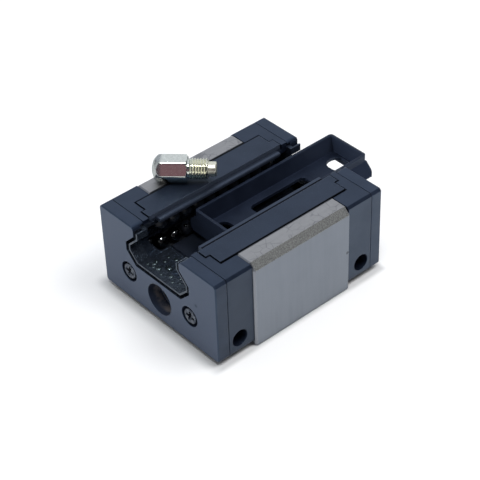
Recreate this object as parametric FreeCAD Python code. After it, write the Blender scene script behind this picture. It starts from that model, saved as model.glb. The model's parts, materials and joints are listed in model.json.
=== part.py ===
import FreeCAD, Part
import math
import os
from FreeCAD import Vector

# Linear guide block for a profile rail, lying on its mounting face with the rail channel up.
# Millimetres. x runs across the block, y along the rail (front end at -y), z up.
# The origin is the centre of the mounting face.

# Rail that the block is made for, as its half section in the channel
RAIL_HALF_WIDTH = 11.5
RAIL_NECK_DEPTH = 3.5
RAIL_NOSE_HALF_HEIGHT = 0.8
RAIL_HEAD_DEPTH = 3.7

# Steel carriage
CARRIAGE_WIDTH = 48.0
CARRIAGE_LENGTH = 33.8
FLOOR_THICKNESS = 13.2
RAIL_FLOOR_GAP = 2.3
RAIL_SIDE_GAP = 1.7
OUTER_CHAMFER = 1.9
MOUNT_CHAMFER = 0.3
END_CHAMFER = 0.5
MOUNT_SPACING = 35.0
MOUNT_HOLE_DIAMETER = 5.0
MOUNT_HOLE_DEPTH = 9.0

# Ball circuits
BALL_DIAMETER = 3.969
BALL_GAP = 0.1
BALL_PHASE = 2.4
BALL_STANDOFF = 1.34
ROW_RISE = 3.3
RACEWAY_RATIO = 0.52
GROOVE_DEPTH = 0.75
PATH_CLEARANCE = 0.12
UPPER_TURN = (7.3, -1.3)
LOWER_TURN = (6.7, -2.5)
BALL_SIDES = 8
BALL_BAND_LATITUDE = 27.0
TURN_SIDES = 6

# Retainers that keep the balls in when the rail is out
RETAINER_RAIL_GAP = 0.35
RETAINER_BALL_GAP = 0.35
PLATE_RETAINER_THICKNESS = 1.2
PLATE_RETAINER_CLEARANCE = 0.1

# Bottom strips along both skirts
STRIP_BALL_GAP = 0.7
STRIP_THICKNESS = 2.0
SKIRT_RIM = 7.0
STRIP_INNER_REACH = 9.8
STRIP_OVERHANG = 4.8
STRIP_CLEARANCE = 0.4
TONGUE_REACH = 12.7
TONGUE_LENGTH = 1.35
BEAD_REACH = 7.6
BEAD_DROP = 0.8
BEAD_THICKNESS = 1.1
BEAD_SETBACK = 0.5
BEAD_GROOVE_WIDTH = 0.35
BEAD_GROOVE_DEPTH = 1.2

# End caps and seal plates
CAP_LENGTH = 8.4
PLATE_THICKNESS = 3.85
CAP_SIDE_STEP = 0.7
CAP_BOTTOM_STEP = 1.3
CAP_TOP_STEP = 0.2
CAP_CORNER_RADIUS = 1.0
CAP_CHAMFER = 0.7
SEAM_WIDTH = 0.2
SEAM_DEPTH = 0.6
FACE_CHAMFER = 0.3
NOTCH_GAP = 1.2
CAP_NOTCH_GAP = 1.5
NOTCH_CORNER_RADIUS = 1.2
PORT_HEIGHT = 8.4
PORT_OPENING_DIAMETER = 9.4
PORT_SEAT_DIAMETER = 8.0
PORT_SEAT_DEPTH = 0.8
PORT_DIAMETER = 5.2
PORT_DEPTH = 6.0
SIDE_PORT_DIAMETER = 5.0
SIDE_PORT_DEPTH = 5.0
SIDE_PORT_HEIGHT = 5.8
SIDE_PORT_SETBACK = 4.9

# End screws
SCREW_OUTSIDE_RAIL = 0.85
SCREW_HEIGHT = 10.5
SCREW_DIAMETER = 2.9
SCREW_CLEARANCE = 0.1
SCREW_GRIP = 7.0
SCREW_HEAD_DIAMETER = 4.6
SCREW_HEAD_HEIGHT = 1.7
SCREW_HEAD_SINK = 0.05
SCREW_HEAD_CLEARANCE = 0.75
SCREW_RECESS_WIDTH = 0.8
SCREW_RECESS_LENGTH = 2.9
SCREW_RECESS_DEPTH = 1.0

# Seal lips
LIP_SQUEEZE = 0.2
LIP_FLANGE_REACH = 1.8
LIP_FLANGE_THICKNESS = 1.2
LIP_RIM_WIDTH = 0.5
LIP_RIM_SETBACK = 0.2
LIP_TOP_DROP = 0.6
LIP_CLEARANCE = 0.05

# Transport rail
DUMMY_SLACK = 1.5
DUMMY_NECK_SLACK = 1.0
DUMMY_SHIFT = 0.45
DUMMY_LENGTH = 50.1
DUMMY_REST = 14.45
DUMMY_RISE = 5.3
DUMMY_WALL = 0.8
DUMMY_WEB = 1.0
DUMMY_DRAFT = 1.1
DUMMY_LEG = 1.6
DUMMY_CORNER_RADIUS = 1.0
DUMMY_NOSE_RADIUS = 1.4
SLOT_LENGTH = 20.0
SLOT_WIDTH = 5.2
SLOT_RADIUS = 1.5
WINDOW_LENGTH = 5.8
WINDOW_WIDTH = 6.4
WINDOW_INSET = 1.2
WINDOW_RADIUS = 2.7

# Grease nipple, loose on the left skirt
NIPPLE_ACROSS_FLATS = 7.0
NIPPLE_HEAD_LENGTH = 9.6
NIPPLE_DOME_LENGTH = 2.6
NIPPLE_DOME_STEPS = 3
NIPPLE_TIP_ANGLE = 18.0
NIPPLE_THREAD_DIAMETER = 5.8
NIPPLE_THREAD_LENGTH = 5.5
NIPPLE_NOSE_DIAMETER = 4.0
NIPPLE_NOSE_LENGTH = 2.2
NIPPLE_COLLAR = (-15.0, -5.3)
NIPPLE_HEADING = 45.0

# How far open-topped cuts run past the block
CUT_OVERSHOOT = 10.0

# Sizes that follow from the ones above
ROOT2 = math.sqrt(2.0)
rail_top = FLOOR_THICKNESS + RAIL_FLOOR_GAP
row_mid = rail_top + RAIL_HEAD_DEPTH
ball_radius = BALL_DIAMETER / 2
path_radius = ball_radius + PATH_CLEARANCE
rail_flank = RAIL_HALF_WIDTH + RAIL_NOSE_HALF_HEIGHT
rail_neck = RAIL_HALF_WIDTH - RAIL_NECK_DEPTH
row_reach = rail_flank + ROOT2 * BALL_STANDOFF - ROW_RISE
raceway_radius = RACEWAY_RATIO * BALL_DIAMETER
steel_flank = row_reach + ROW_RISE + ROOT2 * (raceway_radius - GROOVE_DEPTH)
channel_half = RAIL_HALF_WIDTH + RAIL_SIDE_GAP
strip_seat = row_mid + ROW_RISE + ball_radius + STRIP_BALL_GAP
carriage_height = strip_seat + STRIP_THICKNESS
carriage_end = CARRIAGE_LENGTH / 2
cap_end = carriage_end + CAP_LENGTH
block_end = cap_end + PLATE_THICKNESS
cap_half = CARRIAGE_WIDTH / 2 - CAP_SIDE_STEP
cap_top = carriage_height - CAP_TOP_STEP
strip_outer = CARRIAGE_WIDTH / 2 - SKIRT_RIM
strip_end = carriage_end + STRIP_OVERHANG
tongue_end = strip_end + TONGUE_LENGTH
lip_top = cap_top - LIP_TOP_DROP
flange_gap = NOTCH_GAP + LIP_FLANGE_REACH
screw_reach = RAIL_HALF_WIDTH + SCREW_OUTSIDE_RAIL
screw_head_face = block_end - SCREW_HEAD_SINK
screw_seat = screw_head_face - SCREW_HEAD_HEIGHT
lip_face = block_end - LIP_RIM_SETBACK
above = carriage_height + CUT_OVERSHOOT

X_AXIS = Vector(1, 0, 0)
Y_AXIS = Vector(0, 1, 0)
CENTRE = Vector(0, 0, 0)


def outline(points):
    """Closed face in the xz plane. A point with a third value has that corner rounded."""
    count = len(points)
    starts = []
    ends = []
    middles = []
    for i in range(count):
        corner = Vector(points[i][0], 0, points[i][1])
        radius = points[i][2] if len(points[i]) > 2 else 0.0
        back = Vector(points[i - 1][0], 0, points[i - 1][1]) - corner
        onward = Vector(points[(i + 1) % count][0], 0, points[(i + 1) % count][1]) - corner
        half_turn = back.getAngle(onward) / 2
        reach = radius / math.tan(half_turn)
        back.normalize()
        onward.normalize()
        inward = back + onward
        inward.normalize()
        starts.append(corner + back * reach)
        ends.append(corner + onward * reach)
        middles.append(corner + inward * (radius / math.sin(half_turn) - radius))
    edges = []
    for i in range(count):
        if len(points[i]) > 2:
            edges.append(Part.Arc(starts[i], middles[i], ends[i]).toShape())
        following = starts[(i + 1) % count]
        edges.append(Part.LineSegment(ends[i], following).toShape())
    return Part.Face(Part.Wire(edges))


def bar(points, y_from, y_to):
    """Straight solid along y with the given section in the xz plane."""
    face = outline(points)
    face.translate(Vector(0, y_from, 0))
    return face.extrude(Vector(0, y_to - y_from, 0))


def rod(x, z, radius, y_from, y_to):
    """Round bar along y."""
    return Part.makeCylinder(radius, y_to - y_from, Vector(x, y_from, z), Y_AXIS)


def box(x_from, x_to, y_from, y_to, z_from, z_to):
    """Box between two corners."""
    corner = Vector(x_from, y_from, z_from)
    return Part.makeBox(x_to - x_from, y_to - y_from, z_to - z_from, corner)


def both_sides(right):
    """Closed outline from its right half, listed from bottom to top."""
    return right + [(-p[0],) + p[1:] for p in reversed(right)]


def rail_outline(gap, top, neck_gap=None):
    """Rail section grown by a gap, or by another one at its neck, and carried up to the height top."""
    neck = rail_neck + (gap if neck_gap is None else neck_gap)
    flank = rail_flank + ROOT2 * gap
    widest = RAIL_HALF_WIDTH + gap
    floor = rail_top - gap
    right = [
        (flank - (row_mid - floor), floor),
        (widest, row_mid - (flank - widest)),
        (widest, row_mid + (flank - widest)),
        (neck, row_mid + (flank - neck)),
        (neck, top),
    ]
    return both_sides(right)


def mirrored_x(shape):
    return shape.mirror(CENTRE, X_AXIS)


def mirrored_y(shape):
    return shape.mirror(CENTRE, Y_AXIS)


def export(name, shape):
    shape.exportStep("parts/" + name + ".step")


def chamfered_ends(bar_solid, y_plane, size):
    """Breaks all the edges of a plain bar that lie in one end plane."""
    tolerance = 1e-6
    edges = []
    for edge in bar_solid.Edges:
        box_of_edge = edge.BoundBox
        if abs(box_of_edge.YMin - y_plane) < tolerance and abs(box_of_edge.YMax - y_plane) < tolerance:
            edges.append(edge)
    return bar_solid.makeChamfer(size, edges)


class Circuit:
    """One closed ball path on the right side: loaded row, turnaround, return row, turnaround."""

    def __init__(self, rise, turn):
        self.load = Vector(row_reach, 0, row_mid + rise)
        self.back = self.load + Vector(turn[0], 0, turn[1])
        self.middle = (self.load + self.back) * 0.5
        self.radius = (self.back - self.load).Length / 2
        self.turn_axis = (self.back - self.load).cross(Y_AXIS).normalize()

    def point(self, distance):
        """Place on the path, measured from the front end of the loaded row."""
        arc = math.pi * self.radius
        if distance < CARRIAGE_LENGTH:
            return self.load + Y_AXIS * (distance - carriage_end)
        distance -= CARRIAGE_LENGTH
        if distance < arc:
            return self.turned(distance / self.radius, self.load, 1)
        distance -= arc
        if distance < CARRIAGE_LENGTH:
            return self.back + Y_AXIS * (carriage_end - distance)
        return self.turned((distance - CARRIAGE_LENGTH) / self.radius, self.back, -1)

    def turned(self, angle, start, end_sign):
        sideways = (start - self.middle) * math.cos(angle)
        return self.middle + sideways + Y_AXIS * end_sign * (carriage_end + self.radius * math.sin(angle))

    def length(self):
        return 2 * (CARRIAGE_LENGTH + math.pi * self.radius)

    def balls(self):
        count = int(self.length() / (BALL_DIAMETER + BALL_GAP))
        pitch = self.length() / count
        solids = []
        for i in range(count):
            ball = faceted_ball(ball_radius)
            ball.translate(self.point((BALL_PHASE + i * pitch) % self.length()))
            solids.append(ball)
        return Part.makeCompound(solids)

    def half_drum(self, reach):
        """Half-round block with flat sides at the rear turnaround, its corners at the given reach."""
        across = (self.load - self.middle).normalize()
        base = self.middle - self.turn_axis * path_radius + Y_AXIS * carriage_end
        corners = []
        for i in range(TURN_SIDES + 1):
            angle = math.pi * i / TURN_SIDES
            corners.append(base + across * reach * math.cos(angle) + Y_AXIS * reach * math.sin(angle))
        face = Part.Face(Part.makePolygon(corners + corners[:1]))
        return face.extrude(self.turn_axis * 2 * path_radius)

    def guide(self):
        """Core that the balls run round, inside their path."""
        return self.half_drum(self.radius - path_radius)

    def chamber(self):
        """Hollow for the turnaround, with its flat sides outside the path of the balls."""
        return self.half_drum((self.radius + path_radius) / math.cos(math.pi / TURN_SIDES / 2))

    def bore(self):
        return rod(self.back.x, self.back.z, path_radius, -carriage_end, carriage_end)

    def raceway(self):
        return rod(self.load.x, self.load.z, raceway_radius, -carriage_end, carriage_end)


def faceted_ball(radius):
    """Ball with a few flat facets, its corners on the true sphere."""
    height = radius * math.sin(math.radians(BALL_BAND_LATITUDE))
    reach = radius * math.cos(math.radians(BALL_BAND_LATITUDE))
    ring = []
    for i in range(BALL_SIDES):
        angle = 2 * math.pi * i / BALL_SIDES
        ring.append(Vector(reach * math.cos(angle), reach * math.sin(angle), height))
    rise = Vector(0, 0, 2 * height)
    pole = Vector(0, 0, radius)
    facets = []
    for here, following in zip(ring, ring[1:] + ring[:1]):
        facets.append([here - rise, following - rise, following, here])
        facets.append([here, following, pole])
        facets.append([following - rise, here - rise, pole * -1])
    faces = [Part.Face(Part.makePolygon(corners + corners[:1])) for corners in facets]
    shell = Part.Shell(faces)
    shell.sewShape()
    return Part.Solid(shell)


CIRCUITS = {
    "upper": Circuit(ROW_RISE, UPPER_TURN),
    "lower": Circuit(-ROW_RISE, LOWER_TURN),
}


def carriage_body():
    half = CARRIAGE_WIDTH / 2
    right = [
        (half - MOUNT_CHAMFER, 0),
        (half, MOUNT_CHAMFER),
        (half, carriage_height - OUTER_CHAMFER),
        (half - OUTER_CHAMFER, carriage_height),
    ]
    body = bar(both_sides(right), -carriage_end, carriage_end)
    for end in (-carriage_end, carriage_end):
        body = chamfered_ends(body, end, END_CHAMFER)
    floor_half = steel_flank - (row_mid - FLOOR_THICKNESS)
    shoulder = steel_flank - channel_half
    seat_half = steel_flank - (strip_seat - row_mid)
    right = [
        (floor_half, FLOOR_THICKNESS),
        (channel_half, row_mid - shoulder),
        (channel_half, row_mid + shoulder),
        (seat_half, strip_seat),
        (strip_outer + STRIP_CLEARANCE, strip_seat),
        (strip_outer + STRIP_CLEARANCE, above),
    ]
    channel = bar(both_sides(right), -carriage_end, carriage_end)
    cuts = [channel]
    for circuit in CIRCUITS.values():
        for passage in (circuit.raceway(), circuit.bore()):
            cuts.append(passage)
            cuts.append(mirrored_x(passage))
    screw_radius = (SCREW_DIAMETER + SCREW_CLEARANCE) / 2
    for side in (-1, 1):
        x_mount = side * MOUNT_SPACING / 2
        cuts.append(Part.makeCylinder(MOUNT_HOLE_DIAMETER / 2, MOUNT_HOLE_DEPTH, Vector(x_mount, 0, 0)))
        hole = rod(side * screw_reach, SCREW_HEIGHT, screw_radius, carriage_end - SCREW_GRIP, carriage_end)
        cuts.append(hole)
        cuts.append(mirrored_y(hole))
    return body.cut(cuts)


def end_section(inset=0.0):
    """Outline that the end caps and the seal plates share, or one drawn in all round."""
    side = cap_half - inset
    top = cap_top - inset
    right = [
        (side, CAP_BOTTOM_STEP + inset, CAP_CORNER_RADIUS),
        (side, top - CAP_CHAMFER),
        (side - CAP_CHAMFER, top),
    ]
    return both_sides(right)


def rear_end_cap():
    cap = bar(end_section(), carriage_end, cap_end)
    cuts = [bar(rail_outline(CAP_NOTCH_GAP, above), carriage_end, cap_end)]
    for circuit in CIRCUITS.values():
        cuts.append(circuit.chamber())
        cuts.append(mirrored_x(circuit.chamber()))
    screw_radius = (SCREW_DIAMETER + SCREW_CLEARANCE) / 2
    for side in (-1, 1):
        cuts.append(rod(side * screw_reach, SCREW_HEIGHT, screw_radius, carriage_end, cap_end))
        port_floor = side * (cap_half - SIDE_PORT_DEPTH)
        bottom = Vector(port_floor, carriage_end + SIDE_PORT_SETBACK, SIDE_PORT_HEIGHT)
        cuts.append(Part.makeCylinder(SIDE_PORT_DIAMETER / 2, SIDE_PORT_DEPTH, bottom, X_AXIS * side))
    cuts.append(rod(0, PORT_HEIGHT, PORT_SEAT_DIAMETER / 2, cap_end - PORT_SEAT_DEPTH, cap_end))
    cuts.append(rod(0, PORT_HEIGHT, PORT_DIAMETER / 2, cap_end - PORT_DEPTH, cap_end))
    pocket = strip_plan(0, STRIP_CLEARANCE, above)
    cuts.append(pocket)
    cuts.append(mirrored_x(pocket))
    return cap.cut(cuts)


def strip_plan(inner, grow, z_top):
    """Plan of the right bottom strip with its stepped tongues, from an inner edge, grown by a clearance."""
    plate_end = strip_end + grow
    long_end = tongue_end + grow
    plate = box(inner, strip_outer + grow, -plate_end, plate_end, strip_seat, z_top)
    tongue = box(inner, TONGUE_REACH + grow, -long_end, long_end, strip_seat, z_top)
    return plate.fuse(tongue).removeSplitter()


def right_bottom_strip():
    plate = strip_plan(STRIP_INNER_REACH, 0, carriage_height)
    bead_top = carriage_height - BEAD_DROP
    bead_end = strip_end - BEAD_SETBACK
    bead = box(BEAD_REACH, STRIP_INNER_REACH - BEAD_GROOVE_WIDTH, -bead_end, bead_end,
               bead_top - BEAD_THICKNESS, bead_top)
    web_top = carriage_height - BEAD_GROOVE_DEPTH
    web = box(STRIP_INNER_REACH - BEAD_GROOVE_WIDTH, STRIP_INNER_REACH, -bead_end, bead_end,
              bead_top - BEAD_THICKNESS, web_top)
    return plate.fuse([bead, web]).removeSplitter()


def rear_seal_plate():
    plate = bar(end_section(), cap_end + SEAM_WIDTH, block_end)
    plate = chamfered_ends(plate, block_end, FACE_CHAMFER)
    plate = plate.fuse(bar(end_section(SEAM_DEPTH), cap_end, cap_end + SEAM_WIDTH))
    head_radius = (SCREW_HEAD_DIAMETER + SCREW_HEAD_CLEARANCE * 2) / 2
    screw_radius = (SCREW_DIAMETER + SCREW_CLEARANCE) / 2
    cuts = [
        bar(notch_with_round_mouth(), cap_end, block_end),
        bar(rail_outline(flange_gap, lip_top), cap_end, cap_end + LIP_FLANGE_THICKNESS),
        rod(0, PORT_HEIGHT, PORT_OPENING_DIAMETER / 2, cap_end, block_end),
    ]
    for side in (-1, 1):
        cuts.append(rod(side * screw_reach, SCREW_HEIGHT, head_radius, screw_seat, block_end))
        cuts.append(rod(side * screw_reach, SCREW_HEIGHT, screw_radius, cap_end, block_end))
    return plate.cut(cuts)


def notch_with_round_mouth():
    """Notch of the seal plate, its mouth rounded out to the top face on both sides."""
    right = rail_outline(NOTCH_GAP, above)[:5]
    neck, top = right.pop()
    right.append((neck, cap_top, NOTCH_CORNER_RADIUS))
    right.append((neck + 2 * NOTCH_CORNER_RADIUS, cap_top))
    right.append((neck + 2 * NOTCH_CORNER_RADIUS, top))
    return both_sides(right)


def rear_seal_lip():
    flange = bar(rail_outline(flange_gap - LIP_CLEARANCE, lip_top), cap_end,
                 cap_end + LIP_FLANGE_THICKNESS - LIP_CLEARANCE)
    rim = bar(rail_outline(LIP_RIM_WIDTH - LIP_SQUEEZE, lip_top), cap_end, lip_face)
    mouth = bar(rail_outline(-LIP_SQUEEZE, above), cap_end, lip_face)
    return flange.fuse(rim).cut(mouth).removeSplitter()


def rear_screws():
    solids = []
    for side in (-1, 1):
        x = side * screw_reach
        shank = rod(x, SCREW_HEIGHT, SCREW_DIAMETER / 2, carriage_end - SCREW_GRIP, screw_seat)
        head = rod(x, SCREW_HEIGHT, SCREW_HEAD_DIAMETER / 2, screw_seat, screw_head_face)
        recess_from = screw_head_face - SCREW_RECESS_DEPTH
        half_long = SCREW_RECESS_LENGTH / 2
        half_wide = SCREW_RECESS_WIDTH / 2
        across = box(x - half_long, x + half_long, recess_from, screw_head_face,
                     SCREW_HEIGHT - half_wide, SCREW_HEIGHT + half_wide)
        upright = box(x - half_wide, x + half_wide, recess_from, screw_head_face,
                      SCREW_HEIGHT - half_long, SCREW_HEIGHT + half_long)
        solids.append(shank.fuse(head).cut([across, upright]))
    return Part.makeCompound(solids)


def right_ball_retainer():
    inner = RAIL_HALF_WIDTH + RETAINER_RAIL_GAP
    inner_half = ROW_RISE + (inner - row_reach) - ROOT2 * (ball_radius + RETAINER_BALL_GAP)
    outer_half = inner_half + (channel_half - inner)
    section = [
        (inner, row_mid - inner_half),
        (channel_half, row_mid - outer_half),
        (channel_half, row_mid + outer_half),
        (inner, row_mid + inner_half),
    ]
    return bar(section, -carriage_end, carriage_end)


def channel_retainer():
    half = steel_flank - (row_mid - FLOOR_THICKNESS) - PLATE_RETAINER_CLEARANCE
    bevel = row_reach + (row_mid - ROW_RISE) - ROOT2 * (ball_radius + RETAINER_BALL_GAP)
    top = FLOOR_THICKNESS + PLATE_RETAINER_THICKNESS
    right = [(half, FLOOR_THICKNESS), (half, bevel - half), (bevel - top, top)]
    return bar(both_sides(right), -carriage_end, carriage_end)


def rounded_block(length, width, radius, y_centre, z_from, z_to):
    """Upright block with rounded corners."""
    half_width = width / 2
    half_length = length / 2
    corners = [
        (-half_width, -half_length, radius),
        (half_width, -half_length, radius),
        (half_width, half_length, radius),
        (-half_width, half_length, radius),
    ]
    face = outline(corners)
    face.rotate(CENTRE, X_AXIS, -90)
    face.translate(Vector(0, y_centre, z_from))
    return face.extrude(Vector(0, 0, z_to - z_from))


def dummy_rail():
    top = row_mid + DUMMY_RISE
    y_from = DUMMY_REST - DUMMY_LENGTH / 2
    y_to = DUMMY_REST + DUMMY_LENGTH / 2
    points = rail_outline(-DUMMY_SLACK, top, -DUMMY_NECK_SLACK)
    nose_width = 2 * points[2][0]
    neck_width = 2 * points[4][0]
    head = bar(both_sides(points[:4]), y_from, y_to)
    head = head.common(rounded_block(DUMMY_LENGTH, nose_width, DUMMY_NOSE_RADIUS, DUMMY_REST, rail_top, top))
    neck = rounded_block(DUMMY_LENGTH, neck_width, DUMMY_CORNER_RADIUS, DUMMY_REST, row_mid, top)
    rail = head.fuse(neck).removeSplitter()
    web_top = row_mid + DUMMY_WEB / 2
    web_bottom = row_mid - DUMMY_WEB / 2
    tray_half = rail_neck - DUMMY_NECK_SLACK - DUMMY_WALL
    floor_half = tray_half - DUMMY_DRAFT
    tray = bar([(-floor_half, web_top), (floor_half, web_top), (tray_half, top), (-tray_half, top)],
               y_from + DUMMY_WALL, y_to - DUMMY_WALL)
    sole = rail_top + DUMMY_SLACK
    under_half = points[0][0] - DUMMY_LEG
    under = box(-under_half, under_half, y_from + DUMMY_WALL, y_to - DUMMY_WALL, sole, web_bottom)
    slot = rounded_block(SLOT_LENGTH, SLOT_WIDTH, SLOT_RADIUS, DUMMY_REST, web_bottom, web_top)
    cuts = [tray, under, slot]
    shift = DUMMY_LENGTH / 2 - WINDOW_INSET - WINDOW_LENGTH / 2
    for y_mid in (DUMMY_REST - shift, DUMMY_REST + shift):
        cuts.append(rounded_block(WINDOW_LENGTH, WINDOW_WIDTH, WINDOW_RADIUS, y_mid, web_bottom, web_top))
    rail = rail.cut(cuts)
    rail.translate(X_AXIS * DUMMY_SHIFT)
    return rail


def grease_nipple():
    """Turned nipple with a six-sided head, made along +x from its collar and laid on the left skirt."""
    flat = NIPPLE_ACROSS_FLATS / 2
    corner = flat / math.cos(math.pi / 6)
    thread = NIPPLE_THREAD_DIAMETER / 2
    nose = NIPPLE_NOSE_DIAMETER / 2
    dome_base = NIPPLE_DOME_LENGTH - NIPPLE_HEAD_LENGTH
    turned = [(0, 0)]
    for i in range(NIPPLE_DOME_STEPS + 1):
        angle = math.radians(NIPPLE_TIP_ANGLE + (90 - NIPPLE_TIP_ANGLE) * i / NIPPLE_DOME_STEPS)
        turned.append((dome_base - NIPPLE_DOME_LENGTH * math.cos(angle), corner * math.sin(angle)))
    turned.insert(1, (turned[1][0], 0))
    turned.append((0, corner))
    head = outline(turned).revolve(CENTRE, X_AXIS, 360)
    hexagon = []
    for i in range(7):
        angle = math.pi / 3 * i
        hexagon.append(Vector(-NIPPLE_HEAD_LENGTH, corner * math.cos(angle), corner * math.sin(angle)))
    head = head.common(Part.Face(Part.makePolygon(hexagon)).extrude(X_AXIS * NIPPLE_HEAD_LENGTH))
    stem = Part.makeCylinder(thread, NIPPLE_THREAD_LENGTH, CENTRE, X_AXIS)
    nose_start = X_AXIS * NIPPLE_THREAD_LENGTH
    stem = stem.fuse(Part.makeCylinder(nose, NIPPLE_NOSE_LENGTH, nose_start, X_AXIS))
    nipple = head.fuse(stem).removeSplitter()
    nipple.rotate(CENTRE, Vector(0, 0, 1), NIPPLE_HEADING)
    nipple.translate(Vector(NIPPLE_COLLAR[0], NIPPLE_COLLAR[1], carriage_height + flat))
    return nipple


os.makedirs("parts", exist_ok=True)
export("carriage_body", carriage_body())
for part_name, make in (
    ("end_cap", rear_end_cap),
    ("seal_plate", rear_seal_plate),
    ("seal_lip", rear_seal_lip),
    ("screws", rear_screws),
):
    rear = make()
    export("rear_" + part_name, rear)
    export("front_" + part_name, mirrored_y(rear))
for part_name, make in (("bottom_strip", right_bottom_strip), ("ball_retainer", right_ball_retainer)):
    right_piece = make()
    export("right_" + part_name, right_piece)
    export("left_" + part_name, mirrored_x(right_piece))
for level, circuit in CIRCUITS.items():
    balls = circuit.balls()
    export("right_" + level + "_ball_circuit", balls)
    export("left_" + level + "_ball_circuit", mirrored_x(balls))
    guide = circuit.guide()
    for end_name, end_guide in (("rear", guide), ("front", mirrored_y(guide))):
        export(end_name + "_right_" + level + "_return_guide", end_guide)
        export(end_name + "_left_" + level + "_return_guide", mirrored_x(end_guide))
export("channel_retainer", channel_retainer())
export("dummy_rail", dummy_rail())
export("grease_nipple", grease_nipple())
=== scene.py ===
import json
import math

import bmesh
import bpy
import numpy as np
from mathutils import Matrix, Vector


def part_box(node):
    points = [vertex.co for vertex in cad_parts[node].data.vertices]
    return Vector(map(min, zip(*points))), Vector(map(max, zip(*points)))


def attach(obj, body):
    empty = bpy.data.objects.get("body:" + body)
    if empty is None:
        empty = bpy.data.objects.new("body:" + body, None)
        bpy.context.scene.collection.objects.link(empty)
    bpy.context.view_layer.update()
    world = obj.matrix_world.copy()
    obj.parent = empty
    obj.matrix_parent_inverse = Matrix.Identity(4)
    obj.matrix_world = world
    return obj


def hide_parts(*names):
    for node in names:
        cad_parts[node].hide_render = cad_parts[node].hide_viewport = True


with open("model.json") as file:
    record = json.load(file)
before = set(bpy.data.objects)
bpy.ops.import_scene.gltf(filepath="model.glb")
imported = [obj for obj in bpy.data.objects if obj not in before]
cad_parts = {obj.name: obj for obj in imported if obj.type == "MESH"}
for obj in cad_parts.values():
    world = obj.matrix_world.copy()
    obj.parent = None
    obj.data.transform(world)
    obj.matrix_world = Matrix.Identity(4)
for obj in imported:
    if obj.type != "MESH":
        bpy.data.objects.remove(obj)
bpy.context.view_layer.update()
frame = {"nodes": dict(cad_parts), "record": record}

# Looks of the linear guide block: round balls, lower seal lips, threaded nipple, recessed screws, oil and materials.
# Lengths are in metres, in the frame of the solids: x across the block, y along the rail, z up.
MM = 0.001
nodes = frame["nodes"]

# Sizes repeated from the part's source
SCREW_REACH = 12.35 * MM
SCREW_HEIGHT = 10.5 * MM
SCREW_RADIUS = 1.45 * MM
SCREW_HEAD_RADIUS = 2.3 * MM
SCREW_HEAD_HEIGHT = 1.7 * MM
RECESS_WIDTH = 1.0 * MM
RECESS_LENGTH = 3.3 * MM
RECESS_DEPTH = 1.0 * MM
NIPPLE_FLAT = 3.5 * MM
NIPPLE_HEAD_LENGTH = 9.6 * MM
NIPPLE_DOME_LENGTH = 2.6 * MM
NIPPLE_THREAD_RADIUS = 2.9 * MM
NIPPLE_THREAD_LENGTH = 5.5 * MM
NIPPLE_NOSE_RADIUS = 2.0 * MM
NIPPLE_NOSE_LENGTH = 2.2 * MM
NIPPLE_COLLAR = (-15.0 * MM, -5.3 * MM)
NIPPLE_HEADING = math.radians(45.0)
CARRIAGE_HALF_WIDTH = 24.0 * MM
CARRIAGE_HEIGHT = 27.185 * MM
OUTER_CHAMFER = 1.9 * MM
PORT_HEIGHT = 8.4 * MM
PORT_SEAT_RADIUS = 4.0 * MM
PORT_OPENING_RADIUS = 4.7 * MM
PLATE_FACE = -29.15 * MM
CAP_FOOT = 1.3 * MM
STRIP_INNER_REACH = 9.8 * MM
STRIP_OUTER_REACH = 17.0 * MM
RIM_INNER_REACH = 17.4 * MM
CAP_NOTCH_FLOOR = 14.0 * MM
LIP_FLOOR = 15.7 * MM
LIP_FACE = 28.95 * MM
LIP_TOP = 26.385 * MM

# Forms that only the visual pieces have, angles in degrees. The seal lips end lower by LIP_CUT than on the
# solids, and the arms of a recess have RECESS_SHARES of its length just above the head and on the recess floor.
LIP_CUT = 0.9 * MM
LIP_TOP_MARGIN = 0.1 * MM
SAME_POINT_DIGITS = 7
BALL_LEVELS = 3
SCREW_RIM = 0.35 * MM
SCREW_RIM_STEPS = 6
SCREW_HEAD_SIDES = 64
SCREW_THREAD_DEPTH = 0.25 * MM
SCREW_PITCH = 0.5 * MM
SCREW_LEAN = -13.0
SCREW_LEAN_APART = 2.0
RECESS_CLEARANCE = 0.2 * MM
RECESS_SHARES = (1.1, 0.5)
RECESS_THINNING = 0.45
NIPPLE_CHAMFER = 0.35 * MM
NIPPLE_CHAMFER_SLOPE = 1.3
NIPPLE_BLUNTING = 0.13 * MM
NIPPLE_EDGE_SOFTNESS = 0.06 * MM
NIPPLE_DOME_STEPS = 29
NIPPLE_DOME_TIP = 4.0
NIPPLE_FLAT_STEPS = 10
NIPPLE_CHAMFER_STEPS = 4
NIPPLE_HEAD_SIDES = 192
NIPPLE_NECK_LENGTH = 0.45 * MM
NIPPLE_NECK_DEPTH = 0.3 * MM
NIPPLE_NECK_STEP = 0.05 * MM
NIPPLE_NECK_SIDES = 48
NIPPLE_THREAD_DEPTH = 0.42 * MM
NIPPLE_PITCH = 0.75 * MM
NIPPLE_NOSE_ROUNDING = 0.3 * MM
NIPPLE_NOSE_STEP = 0.1 * MM
NIPPLE_NOSE_STEPS = 6
NIPPLE_NOSE_SIDES = 64
THREAD_RUN_OUT = 0.4
THREAD_STEEPNESS = 1.35
THREAD_ROOT = 0.12

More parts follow.
